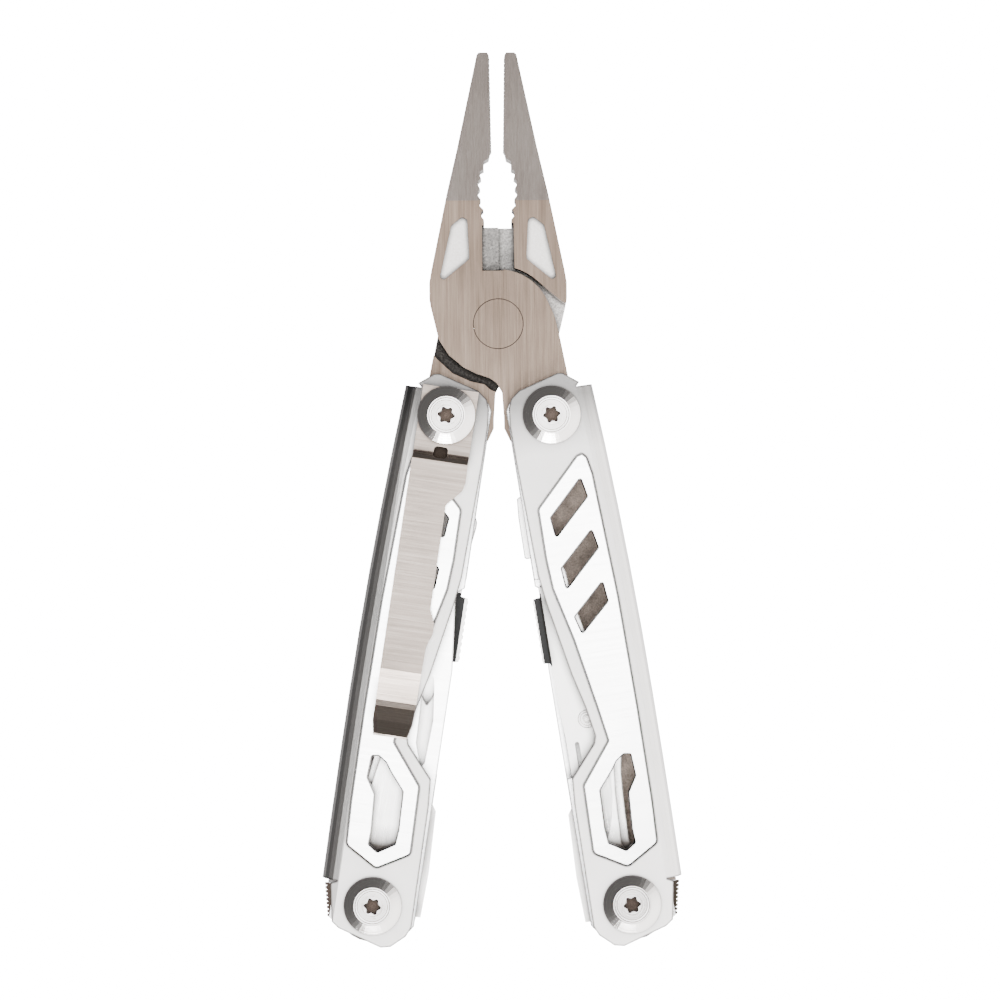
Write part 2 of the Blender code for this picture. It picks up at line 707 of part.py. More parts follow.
def make_knife(prefix, index, parent):
    low, high = tool_levels(index)
    outline = [(0.0, 11.2), (-6.9, 11.2), (-6.9, 2.0)] + heel(164.0, 405.0) + [(1.6, 8.6), (0.2, 10.2)]
    shank = plate_mesh(outline, [circle((0.0, 0.0), BORE_R)], low, high)
    made = add_object(f"{prefix}_knife_blade", shank, tool_steel(), parent, (0.0, TOOL_PIVOT_Y))
    stations = [(11.0, 0.0, -6.6, -6.9), (12.0, 0.05, -2.55, -6.95), (13.4, 0.15, -1.8, -7.0)]
    stations += [(16.5, 0.25, -0.9, -7.1), (20.6, 0.45, -0.15, -7.2), (26.2, 1.1, 0.3, -7.2)]
    stations += [(32.0, 1.5, 0.6, -7.2), (40.0, 1.1, 0.2, -7.2), (51.5, -0.5, -1.35, -7.1)]
    stations += [(55.0, -1.25, -2.0, -6.9), (59.4, -1.85, -2.6, -6.4), (62.4, -2.1, -2.8, -5.2)]
    stations += [(64.0, -2.6, -2.9, -3.4)]
    blade = add_object("blade_block", blade_mesh(stations, low, high), tool_steel())
    combine(made, blade, "UNION")
    return made


def teeth_down(x_high, y_high, x_low, y_low, count, depth):
    """Triangular teeth down a tool-side edge, points outwards to -x."""
    points = []
    for i in range(count):
        for part, out in ((0.0, 0.0), (0.5, depth)):
            t = (i + part) / count
            points.append((x_high + (x_low - x_high) * t - out, y_high + (y_low - y_high) * t))
    return points


def make_saw(prefix, index, parent):
    right = [(5.4, 0.0), (4.8, 5.2), (2.4, 9.4), (1.5, 11.2), (1.6, 15.2)]
    right += [(1.8, 19.8), (2.1, 23.8), (2.8, 27.8)]
    right += [(2.6, 34.0), (0.8, 44.0), (-0.9, 50.0), (-2.4, 58.0), (-4.1, 66.0), (-4.1, 76.6), (-5.0, 77.2)]
    tip = [(-8.3, 77.2), (-8.8, 76.9), (-9.1, 73.4), (-9.15, 65.9), (-8.9, 65.6), (-8.0, 65.6), (-6.4, 64.8)]
    left = teeth_down(-6.4, 63.0, -6.2, 14.0, 26, 0.9) + [(-7.0, 11.0), (-7.0, 4.0)]
    return add_flat_tool(prefix, "saw", index, right + tip, left, parent)


def make_can_opener(prefix, index, parent):
    right = [(5.4, 0.0), (4.8, 5.2), (2.4, 9.0), (1.2, 10.6), (1.2, 34.0), (0.6, 36.0)]
    hook = [(-1.1, 35.6), (-3.7, 33.0), (-4.3, 29.6), (-2.5, 27.0), (-2.1, 24.4), (-2.9, 23.0), (-3.9, 23.6)]
    left = hook + [(-4.7, 25.6), (-6.5, 24.0), (-6.7, 20.0), (-7.9, 14.0), (-7.9, 9.0), (-7.0, 4.0)]
    return add_flat_tool(prefix, "can_opener", index, right, left, parent)


def make_cross_driver(prefix, index, parent):
    right = [(5.4, 0.0), (4.8, 5.2), (2.4, 9.0), (1.0, 11.0), (1.0, 17.0), (-1.6, 20.0)]
    right += [(-1.6, 40.0), (-2.2, 42.0), (-3.4, 44.6)]
    left = [(-4.6, 44.6), (-5.8, 42.0), (-6.4, 40.0), (-6.4, 24.0), (-7.9, 22.0), (-7.9, 9.0), (-7.0, 4.0)]
    return add_flat_tool(prefix, "cross_driver", index, right, left, parent)


def make_file(prefix, index, parent):
    right = [(5.4, 0.0), (5.4, 10.0), (4.4, 14.0), (3.6, 22.0), (0.6, 40.0), (-1.0, 52.0), (-4.2, 66.0)]
    tip = arc((-6.3, 72.0), 2.3, 10.0, 190.0, 8)
    left = [(-8.0, 67.4), (-7.4, 65.2)] + teeth_down(-6.45, 63.0, -6.45, 16.0, 40, 0.3)
    left += [(-7.9, 14.0), (-7.9, 9.0), (-7.0, 4.0)]
    made = add_flat_tool(prefix, "file", index, right + tip, left, parent)
    cut(made, nail_nick(tool_levels(index)[0]))
    return made


def nail_nick(face_z):
    """Pocket in the outer face for a thumbnail, pointed towards the heel."""
    outline = [(-4.3, 37.8), (-5.0, 39.2), (-6.1, 42.4), (-6.1, 45.4), (-2.2, 45.4), (-2.2, 41.0)]
    return slab(outline, face_z - 1.0, face_z + 1.2)


def make_serrated_blade(prefix, index, parent):
    tip = [(-5.6, 70.0), (-6.5, 64.0)]
    left = [(-7.0, 52.0)]
    for i in range(9):
        left += arc((-7.7, 48.0 - 3.6 * i), 1.5, 70.0, -70.0, 4)
    left += [(-7.0, 13.0), (-7.0, 4.0)]
    return add_flat_tool(prefix, "serrated_blade", index, PALM_FLANK + tip, left, parent)


def make_flat_driver(prefix, index, parent):
    right = [(5.4, 0.0), (5.4, 12.0), (2.0, 18.0), (0.4, 22.0), (0.4, 42.0), (-0.4, 46.0)]
    left = [(-5.8, 46.0), (-6.6, 42.0), (-6.6, 26.0), (-7.9, 22.0), (-7.9, 9.0), (-7.0, 4.0)]
    return add_flat_tool(prefix, "flat_driver", index, right, left, parent)


def make_bottle_opener(prefix, index, parent):
    right = [(5.4, 0.0), (5.4, 12.0), (4.6, 22.0), (3.6, 31.0), (2.0, 33.0)]
    hook = [(-0.5, 33.0), (-4.1, 31.4), (-4.5, 29.6), (-2.1, 28.4), (0.1, 24.6), (-0.7, 21.4), (-3.9, 22.4)]
    left = hook + [(-6.9, 21.0), (-7.9, 16.0), (-7.9, 9.0), (-7.0, 4.0)]
    return add_flat_tool(prefix, "bottle_opener", index, right, left, parent)


# Pocket clip, drawn as seen from the front with the left handle's pivot at the origin

CLIP_BASE_Z = 6.95
CLIP_TOP_Z = 10.2
CLIP_PALM_X = -5.0


def clip_edge(y):
    """Tool-side edge of the clip's long plate."""
    stops = [(-8.0, 5.3), (-11.8, 5.4), (-13.4, 5.0), (-16.4, 2.4), (-35.6, 2.45), (-38.1, 3.5), (-40.0, 3.6)]
    stops += [(-42.5, 2.7), (-56.0, 2.4), (-59.0, 2.2)]
    if y >= stops[0][0]:
        return stops[0][1]
    for (y_1, x_1), (y_2, x_2) in zip(stops, stops[1:]):
        if y >= y_2:
            return x_1 + (x_2 - x_1) * (y - y_1) / (y_2 - y_1)
    return stops[-1][1]


def clip_path():
    """Middle line of the clip's sheet, as y and z, from the base to the flared lip."""
    base = [(5.0, CLIP_BASE_Z + 0.4), (-7.0, CLIP_BASE_Z + 0.4)]
    base += [(-7.5, CLIP_BASE_Z + 0.6), (-8.1, CLIP_TOP_Z - 0.3)]
    stops = [(-8.6, CLIP_TOP_Z)] + [(y, CLIP_TOP_Z) for y in (-11.8, -13.4, -16.4, -35.6, -38.1, -40.0, -42.5)]
    bend = [(-47.5, CLIP_TOP_Z - 0.1), (-50.0, CLIP_TOP_Z - 1.1), (-52.2, 8.1), (-53.4, 7.75), (-54.6, 8.0)]
    lip = [(-57.2, 9.2), (-59.6, 10.6)]
    return base + stops + bend + lip


def clip_mesh():
    path = [Vector(point) for point in clip_path()]
    rings = []
    for i, point in enumerate(path):
        along = (path[min(i + 1, len(path) - 1)] - path[max(i - 1, 0)]).normalized()
        normal = Vector((-along.y, along.x)) * (CLIP_SHEET / 2)
        if normal.y < 0:
            normal = -normal
        left = CLIP_PALM_X + (0.5 if i == len(path) - 1 else 0.0)
        right = clip_edge(point.x) - (0.5 if i == len(path) - 1 else 0.0)
        low, high = point - normal, point + normal
        rings.append([(left, *low), (right, *low), (right, *high), (left, *high)])
    return lofted_mesh(rings)


def make_clip(parent):
    made = add_object("pocket_clip", clip_mesh(), clip_steel(), parent)
    cut(made, slab(circle((0.0, 0.0), BORE_R), 5.0, 9.0))
    slot = rounded([(-1.3, -5.9), (1.3, -5.9), (1.3, -8.0), (-1.3, -8.0)], 0.6, 3)
    cut(made, slab(slot, 5.0, 12.0))
    return made


# Assembly


def frame_empty(name, location, rotation, parent=None):
    made = bpy.data.objects.new(name, None)
    bpy.context.scene.collection.objects.link(made)
    made.parent = parent
    made.location = [value * MM for value in location]
    made.rotation_euler = rotation
    return made


def make_handle(prefix, faces, side, tools, clip_lift):
    """One handle. side is 1 on the right and -1 on the left, which is turned over."""
    at = (side * TANG_HALF_SPREAD, JAW_PIVOT_Y - TANG_DROP, MID_PLANE)
    turn = (0.0, 0.0 if side > 0 else pi, side * HANDLE_TILT)
    parent = frame_empty(f"{prefix}_handle", at, turn)
    make_covers(prefix, faces, parent)
    make_pivots(prefix, parent, clip_lift)
    make_tool_rings(prefix, parent)
    make_lock(prefix, parent)
    make_stop_pin(prefix, parent)
    for index, make in enumerate(tools):
        make(prefix, index, parent)


def main():
    for old in list(bpy.data.objects):
        bpy.data.objects.remove(old, do_unlink=True)
    head = frame_empty("head", (0.0, JAW_PIVOT_Y, MID_PLANE), (0.0, 0.0, 0.0))
    make_jaw("front_jaw", head, 0.0, RIVET_FIT)
    make_jaw("rear_jaw", head, pi, RIVET_CLEARANCE)
    make_rivet(head)
    right_tools = (make_knife, make_saw, make_can_opener, make_cross_driver)
    left_tools = (make_bottle_opener, make_flat_driver, make_serrated_blade, make_file)
    make_handle("right", ("front", "rear"), 1, right_tools, 0.0)
    make_handle("left", ("rear", "front"), -1, left_tools, CLIP_LIFT)
    clip_at = (-TANG_HALF_SPREAD, JAW_PIVOT_Y - TANG_DROP, MID_PLANE)
    make_clip(frame_empty("clip_frame", clip_at, (0.0, 0.0, -HANDLE_TILT)))


main()
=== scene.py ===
"""Looks for the folding pliers multi tool: steel finishes, softened edges, light and camera.

Lengths are in metres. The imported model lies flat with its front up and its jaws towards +Y.
"""

import json
from math import pi, radians

import bpy
from mathutils import Euler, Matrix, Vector


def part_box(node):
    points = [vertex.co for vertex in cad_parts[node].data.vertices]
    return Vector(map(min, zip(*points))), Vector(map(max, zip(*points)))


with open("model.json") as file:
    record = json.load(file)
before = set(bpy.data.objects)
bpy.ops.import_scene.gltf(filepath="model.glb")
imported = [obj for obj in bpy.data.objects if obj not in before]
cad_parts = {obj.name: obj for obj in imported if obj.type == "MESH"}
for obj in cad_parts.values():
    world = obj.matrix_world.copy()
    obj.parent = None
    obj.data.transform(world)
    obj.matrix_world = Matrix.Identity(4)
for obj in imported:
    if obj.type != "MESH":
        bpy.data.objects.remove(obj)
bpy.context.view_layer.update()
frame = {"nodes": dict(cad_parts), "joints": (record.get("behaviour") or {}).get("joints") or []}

HANDLE_TILT = radians(8.94)
SIGNS = {"left": -1, "right": 1}
HINGES = {joint["name"]: joint["pos_m"] for joint in frame["joints"] if "pos_m" in joint}
MID_PLANE = 0.0082
FLOOR_Z = 0.0


# Finishes: grain of the noise per metre, height of the grain, and how far painted shade reaches

UP_GRAIN = (5200.0, 90.0, 5200.0)
CROSS_GRAIN = (90.0, 5200.0, 5200.0)
BROAD_UP_GRAIN = (900.0, 30.0, 900.0)
FINE_SCALE = 5200.0
BLAST_SCALE = 7000.0
SPECKLE_SCALE = 4200.0
STAIN_SCALE = 210.0
PIT_SCALE = 2600.0
PIT_HEIGHT = 4.0
RING_PITCH = 0.00022

GRAIN_CUT = 0.00002
FINE_CUT = 0.00001
# Painted shade in corners and narrow gaps: how far it reaches, and its colour
PAINTED_SHADE_REACH = 0.002
PAINTED_CORNER_SHADE = (0.006, 0.005, 0.0045)
# Painted shade along outer edges: how wide it is, and its colour
PAINTED_EDGE_WIDTH = 0.00036
PAINTED_EDGE_SHADE = (0.03, 0.026, 0.023)

# Handles, measured from the top pivot: first towards the palm edge, then towards the jaws

FLANGE_START = 0.0068
LEFT_FLANGE_SHADE = 0.55
HEAD_END = (-0.007, 0.003)
HEAD_END_SHADE = 0.32
# Where a hole's shadow is painted on the left shell under the clip
PAINTED_CLIP_HOLE = ((-0.0013, 0.0013), (-0.0082, -0.0059))
TAB = {"left": (-0.00835, -0.0064), "right": (-0.00872, -0.0073)}
TAB_LENGTH = (-0.0458, -0.0322)
PALM_CORNER = (0.0076, -0.0883)
INNER_EDGE = -0.0066
HEEL = (-0.0804, -0.0762)
INNER_HEIGHTS = (0.0033, 0.01305)

# Head: rises are from the middle plane

TAPER_START = 0.0552
FLANK = (0.0395, TAPER_START)
POCKET_RISE = (0.0028, 0.003)
THROAT_RISE = (0.0018, 0.0022)
LAP_RISE = 0.0002
THROAT_SPLIT = 0.0001
THROAT_LENGTH = (0.0405, 0.0522)
THROAT_REACH = (0.0112, 0.0084)
RIVET_SEAM = (0.00453, 0.00468)
RIVET_SEAM_RISE = 0.0036

# Buttons

DRIVER_RADIUS = 0.00175
DRIVER_DEPTH = 0.00012
FACE_SKIN = 0.00003
FACED_SHADE = 0.52

# Colours, darkest and palest where there are two

# Inner faces: their own steel tone; the right handle's dark brown is partly painted shade inside
# the handle
INNER_STEEL_AND_SHADE = {"left": (0.62, 0.6, 0.58), "right": (0.3, 0.25, 0.215)}
# Dark palm corner of the liners, and painted shade at the tools' heels near their pivot
DARK_CORNER_AND_HEEL_SHADE = (0.026, 0.02, 0.016)
# Painted shade in recesses: a hole's shadow under the clip, and the buttons' driver recesses
PAINTED_RECESS_SHADE = (0.035, 0.026, 0.021)
# Painted shade on faces that stand up
PAINTED_SIDE_SHADE = (0.022, 0.02, 0.018)
FORGED_SIDE = (0.5, 0.47, 0.45)
# Painted shade in the gap between the jaws and along the rivet's seam
PAINTED_GAP_SHADE = (0.02, 0.016, 0.013)
GROUND_STEEL = ((0.165, 0.122, 0.094), (0.275, 0.212, 0.17))
TAPER_STEEL = ((0.17, 0.145, 0.13), (0.26, 0.228, 0.208))
POCKET_STEEL = ((0.84, 0.8, 0.77), (0.98, 0.95, 0.93))
CAST_STEEL = ((0.17, 0.165, 0.16), (0.4, 0.385, 0.37))
BRIGHT_CAST = ((0.38, 0.365, 0.35), (0.75, 0.73, 0.71))
BLACK_CAST = ((0.03, 0.028, 0.026), (0.11, 0.104, 0.098))
CLIP_STEEL = ((0.235, 0.196, 0.168), (0.345, 0.295, 0.26))
PLATE_STEEL = ((0.92, 0.915, 0.91), (0.98, 0.975, 0.97))
TOOL_STEEL = ((0.86, 0.845, 0.83), (0.96, 0.945, 0.93))
SLIDER_STEEL = ((0.78, 0.76, 0.74), (0.88, 0.86, 0.85))
# Thumb tab: its black coating together with painted shadow
TAB_COATING_AND_SHADOW = ((0.008, 0.008, 0.008), (0.022, 0.022, 0.022))
SHELL_STEEL = ((0.74, 0.72, 0.705), (0.82, 0.8, 0.785))
BUTTON_STEEL = ((0.7, 0.67, 0.65), (0.82, 0.79, 0.77))
BRONZE = ((0.4, 0.26, 0.14), (0.5, 0.34, 0.2))
PAPER = ((0.86, 0.86, 0.86), (0.9, 0.9, 0.9))


class Tree:
    """Small helper around one material's node tree."""

    def __init__(self, name):
        self.material = bpy.data.materials.new(name)
        self.material.use_nodes = True
        self.nodes = self.material.node_tree.nodes
        self.links = self.material.node_tree.links
        self.shader = self.nodes["Principled BSDF"]

    def node(self, kind, inputs=None, **values):
        made = self.nodes.new(kind)
        for key, value in values.items():
            setattr(made, key, value)
        for key, value in (inputs or {}).items():
            self.join(made.inputs[key], value)
        return made

    def join(self, socket, value):
        if isinstance(value, bpy.types.NodeSocket):
            self.links.new(value, socket)
        else:
            socket.default_value = value

    def feed(self, name, value):
        self.join(self.shader.inputs[name], value)

    # Numbers and vectors

    def math(self, operation, first, second=0.0):
        return self.node("ShaderNodeMath", {0: first, 1: second}, operation=operation).outputs[0]

    def vector_math(self, operation, first, second):
        inputs = {0: first, 1: second}
        return self.node("ShaderNodeVectorMath", inputs, operation=operation).outputs[0]

    def above(self, value, limit):
        return self.math("GREATER_THAN", value, limit)

    def below(self, value, limit):
        return self.math("LESS_THAN", value, limit)

    def both(self, first, second):
        return self.math("MULTIPLY", first, second)

    def band(self, value, low, high):
        """1 where a value lies between two limits."""
        return self.both(self.above(value, low), self.below(value, high))

    def weigh(self, *parts):
        """Sum of values, each times its weight."""
        total = 0.0
        for value, weight in parts:
            total = self.math("ADD", total, self.math("MULTIPLY", value, weight))
        return total

    def spread(self, value, low, high, out_low, out_high):
        inputs = {"Value": value, "From Min": low, "From Max": high}
        inputs |= {"To Min": out_low, "To Max": out_high}
        return self.node("ShaderNodeMapRange", inputs).outputs["Result"]

    def lerp(self, factor, low, high):
        return self.node("ShaderNodeMix", {0: factor, 2: low, 3: high}).outputs[0]

    # Colours

    def mix(self, factor, low, high):
        """Colour low where factor is 0 and high where it is 1."""
        ends = [(*end, 1.0) if isinstance(end, tuple) else end for end in (low, high)]
        inputs = {0: factor, 6: ends[0], 7: ends[1]}
        return self.node("ShaderNodeMix", inputs, data_type="RGBA").outputs[2]

    def scale(self, color, factor):
        inputs = {0: color, 3: factor}
        return self.node("ShaderNodeVectorMath", inputs, operation="SCALE").outputs[0]

    def shades(self, grain, colors):
        """Colour that follows the middle range of a noise."""
        return self.mix(self.spread(grain, 0.35, 0.65, 0.0, 1.0), *colors)

    def gloss(self, grain, rough, swing):
        """Roughness that falls where the grain is high, or rises if swing is negative."""
        return self.spread(grain, 0.3, 0.7, rough + swing, rough - swing)

    def paint_corner_shade(self, color, reach, depth):
        """Painted shade: darken a colour in corners and narrow gaps, where shade falls."""
        inputs = {"Distance": reach}
        ao = self.node("ShaderNodeAmbientOcclusion", inputs, samples=6).outputs["AO"]
        return self.mix(self.spread(ao, 0.35, 0.95, depth, 0.0), color, PAINTED_CORNER_SHADE)

    def outline(self, color, where=1.0):
        """Painted shade: darken a hair line along outer edges."""
        inputs = {"Distance": PAINTED_EDGE_WIDTH}
        settings = {"samples": 6, "inside": True}
        ao = self.node("ShaderNodeAmbientOcclusion", inputs, **settings).outputs["AO"]
        line = self.both(self.spread(ao, 0.66, 0.96, 0.97, 0.0), where)
        return self.mix(line, color, PAINTED_EDGE_SHADE)

    def metal(self, color, rough, height, cut, reach=PAINTED_SHADE_REACH, depth=0.93):
        """Finish the material: its grain stands cut high, and painted shade lies in its corners.
        """
        self.feed("Base Color", self.paint_corner_shade(color, reach, depth))
        self.feed("Roughness", rough)
        self.feed("Metallic", 1.0)
        inputs = {"Height": height, "Distance": cut, "Strength": 1.0}
        self.feed("Normal", self.node("ShaderNodeBump", inputs).outputs[0])
        return self.material

    # Places on the object

    def place(self, turn=0.0, scale=(1.0, 1.0, 1.0), centre=(0.0, 0.0, 0.0)):
        """Position in the frame at rest, moved to centre, turned about Z and scaled."""
        coords = self.node("ShaderNodeTexCoord").outputs["Object"]
        moved = self.vector_math("SUBTRACT", coords, centre)
        inputs = {"Vector": moved, "Angle": -turn}
        turned = self.node("ShaderNodeVectorRotate", inputs, rotation_type="Z_AXIS").outputs[0]
        return self.vector_math("MULTIPLY", turned, scale)

    def axis(self, name, vector=None):
        vector = self.place() if vector is None else vector
        return self.node("ShaderNodeSeparateXYZ", {0: vector}).outputs[name]

    def radius(self, centre):
        """Distance from an upright line through centre."""
        flat = self.place(0.0, (1.0, 1.0, 0.0), centre)
        return self.node("ShaderNodeVectorMath", {0: flat}, operation="LENGTH").outputs["Value"]

    def rise(self):
        """Distance above or below the middle plane."""
        return self.math("ABSOLUTE", self.math("SUBTRACT", self.axis("Z"), MID_PLANE))

    def handle_coords(self, side):
        """Distance towards the palm edge and along the handle, from its top pivot."""
        sign = SIGNS[side]
        spot = self.place(sign * HANDLE_TILT, (sign, 1.0, 1.0), HINGES[f"{side}_handle_hinge"])
        return self.axis("X", spot), self.axis("Y", spot)

    def sides(self, low=0.62, high=0.95):
        """1 on faces that stand up, 0 on faces that lie flat."""
        normal = self.node("ShaderNodeNewGeometry").outputs["Normal"]
        return self.spread(self.math("ABSOLUTE", self.axis("Z", normal)), low, high, 1.0, 0.0)

    def noise(self, vector, scale=1.0, detail=3.0, roughness=0.5):
        inputs = {"Vector": vector, "Scale": scale, "Detail": detail, "Roughness": roughness}
        return self.node("ShaderNodeTexNoise", inputs).outputs["Fac"]


# Materials


def brushed(tree, colors, rough, turn, grain):
    """Colour, gloss and height of fine streaks along the turned grain, with slow cloudiness."""
    streaks = tree.noise(tree.place(turn, grain), detail=4.0, roughness=0.65)
    broad_grain = (grain[0] / 6, grain[1] / 3, grain[2] / 6)
    broad = tree.noise(tree.place(turn, broad_grain))
    cloud = tree.noise(tree.place(), 90.0, 2.0)
    mixed = tree.weigh((streaks, 0.48), (broad, 0.32), (cloud, 0.2))
    return tree.shades(mixed, colors), tree.gloss(mixed, rough, 0.06), streaks


def clip_steel():
    tree = Tree("clip")
    color, gloss, streaks = brushed(tree, CLIP_STEEL, 0.36, -HANDLE_TILT, CROSS_GRAIN)
    return tree.metal(color, gloss, streaks, GRAIN_CUT)


def plate_steel(side, turn):
    """Liner: bright brushed pad, painted shade on cut faces, speckled inner faces, dark palm
    corner.
    """
    tree = Tree(f"{side}_plate")
    color, gloss, streaks = brushed(tree, PLATE_STEEL, 0.2, turn, CROSS_GRAIN)
    across, along = tree.handle_coords(side)
    # Painted shade on faces that stand up
    color = tree.mix(tree.sides(), color, PAINTED_SIDE_SHADE)
    # Darker palm corner
    corner = tree.both(tree.above(across, PALM_CORNER[0]), tree.below(along, PALM_CORNER[1]))
    color = tree.mix(corner, color, DARK_CORNER_AND_HEEL_SHADE)
    within = tree.both(tree.band(tree.axis("Z"), *INNER_HEIGHTS), tree.above(across, INNER_EDGE))
    speckle = tree.spread(tree.noise(tree.place(), SPECKLE_SCALE, 4.0, 0.7), 0.3, 0.7, 0.5, 1.35)
    stain = tree.spread(tree.noise(tree.place(), STAIN_SCALE, 2.0), 0.35, 0.65, 0.55, 1.2)
    mottle = tree.math("MULTIPLY", speckle, stain)
    # Speckled inner faces; on the right, darker partly as painted shade inside the handle
    inner_face_and_shade = tree.vector_math("MULTIPLY", INNER_STEEL_AND_SHADE[side], mottle)
    # Painted shade along the tool-side edges
    color = tree.outline(tree.mix(within, color, inner_face_and_shade), tree.below(across, INNER_EDGE))
    return tree.metal(color, tree.lerp(within, gloss, 0.6), streaks, FINE_CUT)


def tool_steel(side, turn):
    """Folding tool: bright and brushed, with painted shade near its pivot."""
    tree = Tree(f"{side}_tool")
    color, gloss, streaks = brushed(tree, TOOL_STEEL, 0.3, turn, UP_GRAIN)
    across, along = tree.handle_coords(side)
    # Painted shade on faces that stand up
    color = tree.mix(tree.sides(), color, PAINTED_SIDE_SHADE)
    # Painted shade at the heel, near the pivot
    heel = tree.both(tree.spread(along, *HEEL, 0.96, 0.0), tree.above(across, INNER_EDGE))
    # Painted shade along the outer edges
    color = tree.outline(tree.mix(heel, color, DARK_CORNER_AND_HEEL_SHADE))
    return tree.metal(color, gloss, streaks, GRAIN_CUT, reach=0.0016)


def forged_steel():
    """Head: flats ground with upright streaks, greyer tapers, rough pockets and lap faces."""
    tree = Tree("forging")
    streaks = tree.noise(tree.place(0.0, UP_GRAIN), detail=4.0, roughness=0.65)
    broad = tree.noise(tree.place(0.0, BROAD_UP_GRAIN))
    cloud = tree.noise(tree.place(), 70.0, 2.0)
    mixed = tree.weigh((streaks, 0.5), (broad, 0.25), (cloud, 0.25))
    level = tree.spread(mixed, 0.36, 0.64, 0.0, 1.0)
    pits = tree.noise(tree.place(), PIT_SCALE, 4.0, 0.7)
    across, along, rise = tree.axis("X"), tree.axis("Y"), tree.rise()
    ground = tree.mix(level, *GROUND_STEEL)
    color = tree.mix(tree.above(along, TAPER_START), ground, tree.mix(level, *TAPER_STEEL))

    flank = tree.band(along, *FLANK)
    pocket = tree.both(tree.band(rise, *POCKET_RISE), flank)
    color = tree.mix(pocket, color, tree.shades(pits, POCKET_STEEL))
    bright_cast = tree.shades(pits, BRIGHT_CAST)
    throat = tree.both(tree.band(rise, *THROAT_RISE), flank)
    cast = tree.shades(pits, CAST_STEEL)
    throat_steel = tree.mix(tree.above(across, THROAT_SPLIT), cast, bright_cast)
    color = tree.mix(throat, color, throat_steel)
    lap = tree.below(rise, LAP_RISE)
    lap_steel = tree.mix(tree.above(across, 0.0), tree.shades(pits, BLACK_CAST), bright_cast)
    color = tree.mix(lap, color, lap_steel)

    reach = tree.spread(along, *THROAT_LENGTH, *THROAT_REACH)
    inner_wall = tree.both(flank, tree.below(tree.math("ABSOLUTE", across), reach))
    # Painted shade on the throat's inner walls between the jaws
    wall_steel_and_gap_shade = tree.mix(inner_wall, FORGED_SIDE, PAINTED_GAP_SHADE)
    color = tree.mix(tree.sides(0.3, 0.75), color, wall_steel_and_gap_shade)
    # Painted shade along the rivet's seam
    ring = tree.band(tree.radius(HINGES["jaw_pivot"]), *RIVET_SEAM)
    color = tree.mix(tree.both(ring, tree.above(rise, RIVET_SEAM_RISE)), color, PAINTED_GAP_SHADE)

    rough = tree.math("MAXIMUM", throat, lap)
    gloss = tree.lerp(rough, tree.gloss(mixed, 0.5, 0.06), 0.62)
    height = tree.lerp(rough, streaks, tree.math("MULTIPLY", pits, PIT_HEIGHT))
    return tree.metal(color, gloss, height, GRAIN_CUT, reach=0.0009, depth=0.97)


def slider_steel(side):
    """Lock slider: ground bright, with a thumb tab dark from black coating and painted shadow."""
    tree = Tree(f"{side}_slider")
    across, along = tree.handle_coords(side)
    fine = tree.noise(tree.place(), FINE_SCALE, 4.0, 0.6)
    # Thumb tab: black coating and painted shadow
    on_tab = tree.both(tree.band(across, *TAB[side]), tree.band(along, *TAB_LENGTH))
    color = tree.mix(on_tab, tree.mix(fine, *SLIDER_STEEL), tree.mix(fine, *TAB_COATING_AND_SHADOW))
    # Painted shade on faces that stand up
    color = tree.mix(tree.sides(), color, PAINTED_SIDE_SHADE)
    return tree.metal(color, tree.gloss(fine, 0.34, -0.06), fine, FINE_CUT)


def blasted(tree, colors):
    """Colour and grain of bead blasted metal: even and fine, with faint cloudiness."""
    fine = tree.noise(tree.place(), BLAST_SCALE, 3.0, 0.6)
    cloud = tree.noise(tree.place(), 140.0, 4.0, 0.6)
    return tree.shades(tree.weigh((fine, 0.5), (cloud, 0.5)), colors), fine


def bronze(side):
    tree = Tree(f"{side}_bronze")
    color, fine = blasted(tree, BRONZE)
    return tree.metal(color, tree.gloss(fine, 0.35, -0.05), fine, GRAIN_CUT)


def shell_steel(node, side):
    """Cover: pale blasted faces and rolled edge, painted shade at the head end and on cut faces.
    """
    tree = Tree(f"{node}_steel")
    color, fine = blasted(tree, SHELL_STEEL)
    across, along = tree.handle_coords(side)
    # Painted shade towards the head end
    color = tree.scale(color, tree.spread(along, *HEAD_END, 1.0, HEAD_END_SHADE))
    # Painted shade on the cut faces that stand up, short of the rolled edge
    cut = tree.both(tree.sides(), tree.below(across, FLANGE_START))
    color = tree.mix(cut, color, PAINTED_SIDE_SHADE)
    if side == "left":
        # Painted shadow of a hole under the clip, where the shell has none
        painted_hole = tree.both(tree.band(across, *PAINTED_CLIP_HOLE[0]), tree.band(along, *PAINTED_CLIP_HOLE[1]))
        color = tree.mix(painted_hole, color, PAINTED_RECESS_SHADE)
        # Painted shade on the left handle's rolled edge, which faces away from the light
        flange = tree.above(across, FLANGE_START)
        color = tree.scale(color, tree.lerp(flange, 1.0, 1.0 - LEFT_FLANGE_SHADE))
    # Painted shade along the outer edges
    color = tree.outline(color)
    return tree.metal(color, tree.gloss(fine, 0.42, -0.05), fine, GRAIN_CUT)


